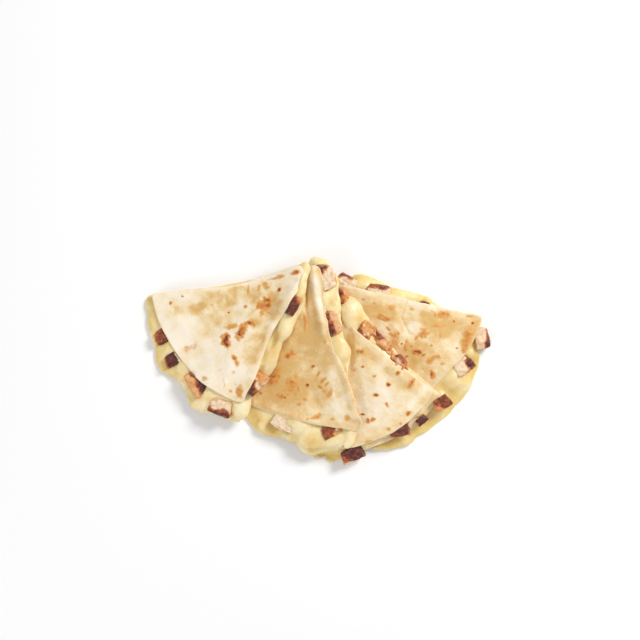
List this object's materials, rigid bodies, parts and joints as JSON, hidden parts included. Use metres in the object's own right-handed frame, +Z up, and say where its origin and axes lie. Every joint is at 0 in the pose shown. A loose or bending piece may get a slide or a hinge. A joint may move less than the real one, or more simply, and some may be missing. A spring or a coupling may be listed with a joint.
{
  "type": "quesadilla",
  "caption": "Grilled chicken and cheese quesadilla, cut into wedges that lie fanned out with their points together.",
  "frame": {"origin": "on the surface that the quesadilla lies on, below the middle of its outline seen from above", "axes": "+X along the fan's width, from wedge 1 towards wedge 4; +Y towards the wedges' points; +Z up"},
  "size_m": [0.275, 0.163, 0.0334],
  "materials": {
    "tortilla": "soft matt flour tortilla, cream with golden and brown toasted patches",
    "cheese": "melted pale yellow cheese, glossy and slightly translucent",
    "chicken": "diced grilled chicken, pale meat with dark browned faces"
  },
  "bodies": {
    "root": {"wedge1_tortilla_base": "tortilla", "wedge1_cheese": "cheese", "wedge1_tortilla_top": "tortilla", "wedge1_chicken_1": "chicken", "wedge1_chicken_2": "chicken", "wedge1_chicken_3": "chicken", "wedge1_chicken_4": "chicken", "wedge1_chicken_5": "chicken", "wedge1_chicken_6": "chicken", "wedge2_tortilla_base": "tortilla", "wedge2_cheese": "cheese", "wedge2_tortilla_top": "tortilla", "wedge2_chicken_1": "chicken", "wedge2_chicken_2": "chicken", "wedge2_chicken_3": "chicken", "wedge2_chicken_4": "chicken", "wedge3_tortilla_base": "tortilla", "wedge3_cheese": "cheese", "wedge3_tortilla_top": "tortilla", "wedge3_chicken_1": "chicken", "wedge3_chicken_2": "chicken", "wedge3_chicken_3": "chicken", "wedge3_chicken_4": "chicken", "wedge3_chicken_5": "chicken", "wedge3_chicken_6": "chicken", "wedge3_chicken_7": "chicken", "wedge3_chicken_8": "chicken", "wedge4_tortilla_base": "tortilla", "wedge4_cheese": "cheese", "wedge4_tortilla_top": "tortilla", "wedge4_chicken_1": "chicken", "wedge4_chicken_2": "chicken", "wedge4_chicken_3": "chicken", "wedge4_chicken_4": "chicken", "wedge4_chicken_5": "chicken"}
  },
  "joints": []
}
